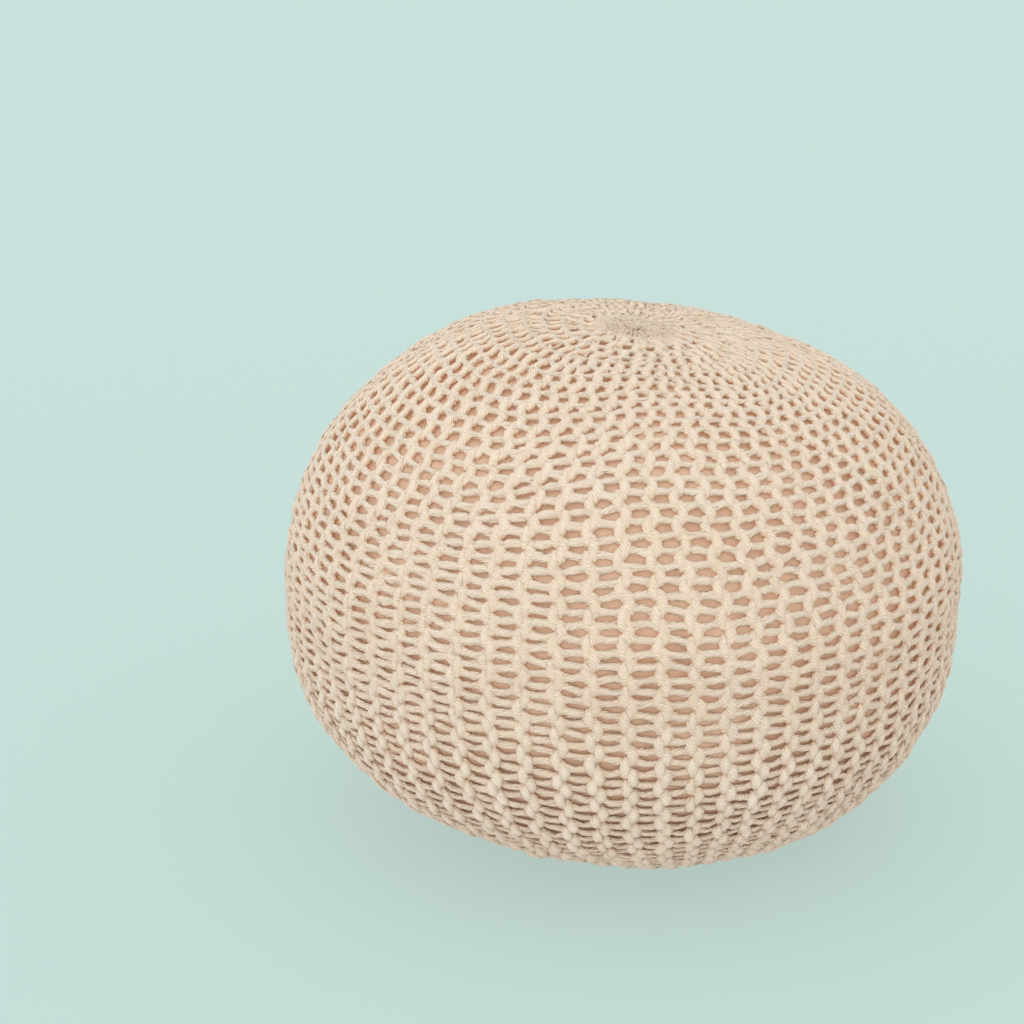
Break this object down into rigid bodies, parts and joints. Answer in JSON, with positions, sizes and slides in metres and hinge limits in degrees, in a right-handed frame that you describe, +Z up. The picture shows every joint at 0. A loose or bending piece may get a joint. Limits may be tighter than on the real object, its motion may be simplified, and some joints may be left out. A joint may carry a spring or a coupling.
{
  "type": "knitted pouf",
  "caption": "Round knitted floor pouf in thick cotton cord, with garter-stitch ridges drawn in at crown and base over a firm filling; a footrest or low seat.",
  "frame": {"origin": "on the floor, in the middle of the bounding box seen from above, which is under the middle of the belly", "axes": "+Z up from the floor through the crown, -Y towards the side the picture shows, +X to the right in the picture, where the crown slopes down and the foot stands off centre"},
  "size_m": [0.4997, 0.4999, 0.3797],
  "materials": {
    "cotton_cord": "thick twisted cotton cord, undyed cream, matt and slightly hairy",
    "inner_bag": "plain woven cotton, dusty pink, seen only as the ground between the stitches"
  },
  "bodies": {
    "root": {"knitted_cover": "cotton_cord", "crown_gather": "cotton_cord", "base_gather": "cotton_cord"}
  },
  "joints": []
}
